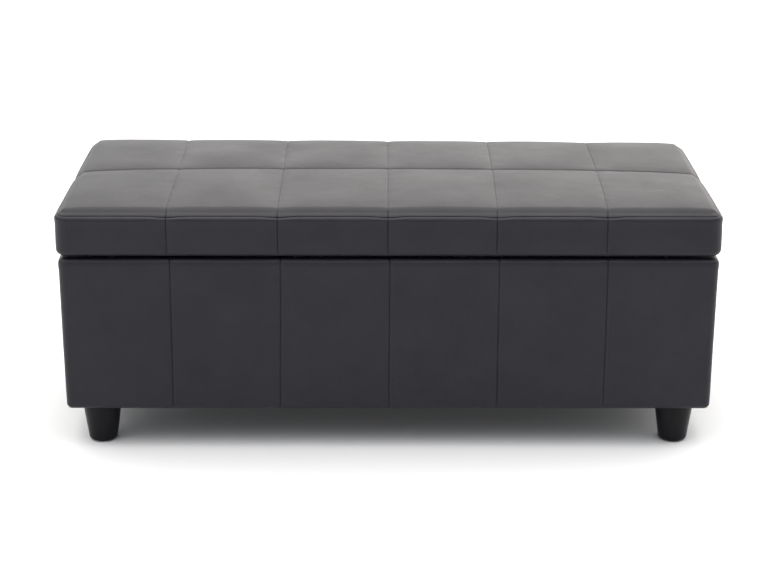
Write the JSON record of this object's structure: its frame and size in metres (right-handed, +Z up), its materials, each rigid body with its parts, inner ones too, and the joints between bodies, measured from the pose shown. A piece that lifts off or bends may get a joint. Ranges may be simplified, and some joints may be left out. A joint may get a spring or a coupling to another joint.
{
  "type": "storage bench",
  "caption": "Long upholstered storage bench with a padded lift-up lid on rear hinges, slotted lid stays, a lined box and round tapered feet.",
  "frame": {"origin": "middle of the footprint on the floor, under the glides", "axes": "+X along the bench to its right end, +Y to the back where the hinges are, +Z up"},
  "size_m": [1.222, 0.518, 0.472],
  "materials": {
    "charcoal_leather": "satin",
    "foam": "matte",
    "lining_cloth": "matte",
    "dust_cloth": "matte",
    "panel_board": "matte",
    "softwood": "matte",
    "plywood": "matte",
    "black_stained_wood": "satin",
    "glide_plastic": "matte",
    "zinc_steel": "satin",
    "black_steel": "satin",
    "bumper_rubber": "matte"
  },
  "bodies": {
    "base": {"front_panel": "panel_board", "back_panel": "panel_board", "left_end_panel": "panel_board", "right_end_panel": "panel_board", "floor_panel": "panel_board", "corner_block_front_left": "softwood", "corner_block_front_right": "softwood", "corner_block_back_left": "softwood", "corner_block_back_right": "softwood", "front_floor_rail": "softwood", "back_floor_rail": "softwood", "left_floor_rail": "softwood", "right_floor_rail": "softwood", "centre_floor_rail": "softwood", "foot_front_left": "black_stained_wood", "foot_front_right": "black_stained_wood", "foot_back_left": "black_stained_wood", "foot_back_right": "black_stained_wood", "foot_glides": "glide_plastic", "foot_bolts": "zinc_steel", "foot_tee_nuts": "zinc_steel", "frame_screws": "zinc_steel", "front_padding": "foam", "back_padding": "foam", "left_end_padding": "foam", "right_end_padding": "foam", "front_cover": "charcoal_leather", "back_cover": "charcoal_leather", "left_end_cover": "charcoal_leather", "right_end_cover": "charcoal_leather", "wall_lining": "lining_cloth", "floor_lining": "lining_cloth", "dust_cover": "dust_cloth", "hinge_left_base_leaf": "zinc_steel", "hinge_centre_base_leaf": "zinc_steel", "hinge_right_base_leaf": "zinc_steel", "hinge_pins": "zinc_steel", "base_hardware_screws": "zinc_steel", "stay_base_bracket_left": "black_steel", "stay_base_bracket_right": "black_steel", "stay_shoulder_pins": "zinc_steel"},
    "lid": {"lid_board": "plywood", "lid_foam": "foam", "lid_edge_wadding": "foam", "lid_top_cover": "charcoal_leather", "lid_border_cover": "charcoal_leather", "lid_underside_lining": "lining_cloth", "lid_bumpers": "bumper_rubber", "hinge_left_lid_leaf": "zinc_steel", "hinge_centre_lid_leaf": "zinc_steel", "hinge_right_lid_leaf": "zinc_steel", "lid_hardware_screws": "zinc_steel", "stay_lid_bracket_left": "black_steel", "stay_lid_bracket_right": "black_steel", "stay_pivot_rivets": "zinc_steel"},
    "stay_left": {"stay_arm_left": "black_steel"},
    "stay_right": {"stay_arm_right": "black_steel"}
  },
  "joints": [
    {"name": "lid_hinge", "type": "hinge", "parent": "base", "child": "lid", "pos_m": [0, 0.255, 0.378], "axis": [-1, 0, 0], "range_deg": [0, 95]},
    {"name": "stay_left_pivot", "type": "hinge", "parent": "lid", "child": "stay_left", "pos_m": [-0.58275, 0.12544, 0.36598], "axis": [-1, 0, 0], "range_deg": [-48, 0]},
    {"name": "stay_right_pivot", "type": "hinge", "parent": "lid", "child": "stay_right", "pos_m": [0.58275, 0.12544, 0.36598], "axis": [-1, 0, 0], "range_deg": [-48, 0]}
  ],
  "couplings": [
    {"joint": "stay_left_pivot", "follows": "lid_hinge", "ratio": -0.5},
    {"joint": "stay_right_pivot", "follows": "lid_hinge", "ratio": -0.5}
  ]
}
